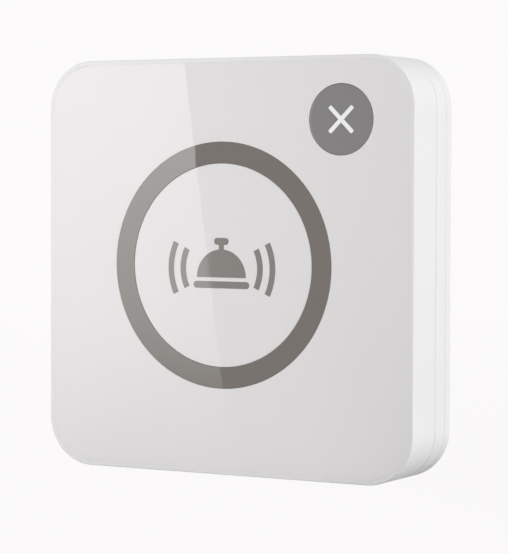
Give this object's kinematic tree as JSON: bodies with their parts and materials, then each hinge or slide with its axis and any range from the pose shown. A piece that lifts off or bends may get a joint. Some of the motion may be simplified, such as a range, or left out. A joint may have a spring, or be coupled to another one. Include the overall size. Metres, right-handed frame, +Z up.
{
  "type": "waiter call button",
  "caption": "Flat square wireless call button: large round key in a light ring, small cancel key, coin-slot battery cover, hook-on wall plate.",
  "frame": {"origin": "middle of the case's lower edge, at half its depth, where it stands on a counter", "axes": "+Z up, -Y out of the front face with the keys, +Y towards the wall, +X to the right as seen from the front"},
  "size_m": [0.086, 0.018, 0.086],
  "materials": {
    "face_white": "polished sheet",
    "key_white": "polished",
    "case_white": "satin moulded",
    "smoked_ring": "satin smoked",
    "key_grey": "polished",
    "tape_white": "foam tape",
    "silicone_clear": "matt silicone",
    "board_green": "solder mask",
    "switch_black": "moulded",
    "switch_steel": "plated",
    "led_white": "moulded lens",
    "chip_black": "moulded",
    "crystal_can": "plated can",
    "capacitor_can": "drawn can",
    "ceramic_tan": "ceramic",
    "antenna_metal": "plated strip",
    "cell_steel": "polished can",
    "holder_black": "moulded",
    "contact_metal": "plated spring strip",
    "screw_steel": "zinc plated"
  },
  "bodies": {
    "wall_mount": {"wall_plate": "case_white"},
    "housing": {"front_shell": "case_white", "face_plate": "face_white", "face_tape": "tape_white", "light_ring": "smoked_ring", "call_return_pads": "silicone_clear", "cancel_return_pads": "silicone_clear", "main_board": "board_green", "call_switch_base": "switch_black", "call_switch_cover": "switch_steel", "cancel_switch_base": "switch_black", "cancel_switch_cover": "switch_steel", "ring_leds": "led_white", "controller_chip": "chip_black", "radio_chip": "chip_black", "crystal": "crystal_can", "supply_capacitor": "capacitor_can", "chip_capacitors": "ceramic_tan", "antenna": "antenna_metal", "coin_cell": "cell_steel", "battery_holder": "holder_black", "negative_contact": "contact_metal", "positive_contact": "contact_metal", "rear_shell": "case_white", "case_screws": "screw_steel"},
    "call_button": {"call_key": "key_white"},
    "cancel_button": {"cancel_key": "key_grey"},
    "call_plunger": {"call_switch_plunger": "switch_black"},
    "cancel_plunger": {"cancel_switch_plunger": "switch_black"},
    "battery_door": {"battery_cover": "case_white"}
  },
  "joints": [
    {"name": "housing_lift", "type": "slide", "parent": "wall_mount", "child": "housing", "axis": [0, 0, 1], "range_m": [0, 0.003]},
    {"name": "call_press", "type": "slide", "parent": "housing", "child": "call_button", "axis": [0, 1, 0], "range_m": [0, 0.0006], "stiffness_N_per_m": 2500, "springref_m": -0.0002, "deforming": ["call_return_pads"]},
    {"name": "cancel_press", "type": "slide", "parent": "housing", "child": "cancel_button", "axis": [0, 1, 0], "range_m": [0, 0.0006], "stiffness_N_per_m": 2500, "springref_m": -0.0002, "deforming": ["cancel_return_pads"]},
    {"name": "call_plunger_press", "type": "slide", "parent": "housing", "child": "call_plunger", "axis": [0, 1, 0], "range_m": [0, 0.0006]},
    {"name": "cancel_plunger_press", "type": "slide", "parent": "housing", "child": "cancel_plunger", "axis": [0, 1, 0], "range_m": [0, 0.0006]},
    {"name": "battery_cover_turn", "type": "hinge", "parent": "housing", "child": "battery_door", "pos_m": [0, 0.0055, 0.033], "axis": [0, 1, 0], "range_deg": [0, 60]}
  ],
  "couplings": [
    {"joint": "call_plunger_press", "follows": "call_press", "ratio": 1},
    {"joint": "cancel_plunger_press", "follows": "cancel_press", "ratio": 1}
  ]
}
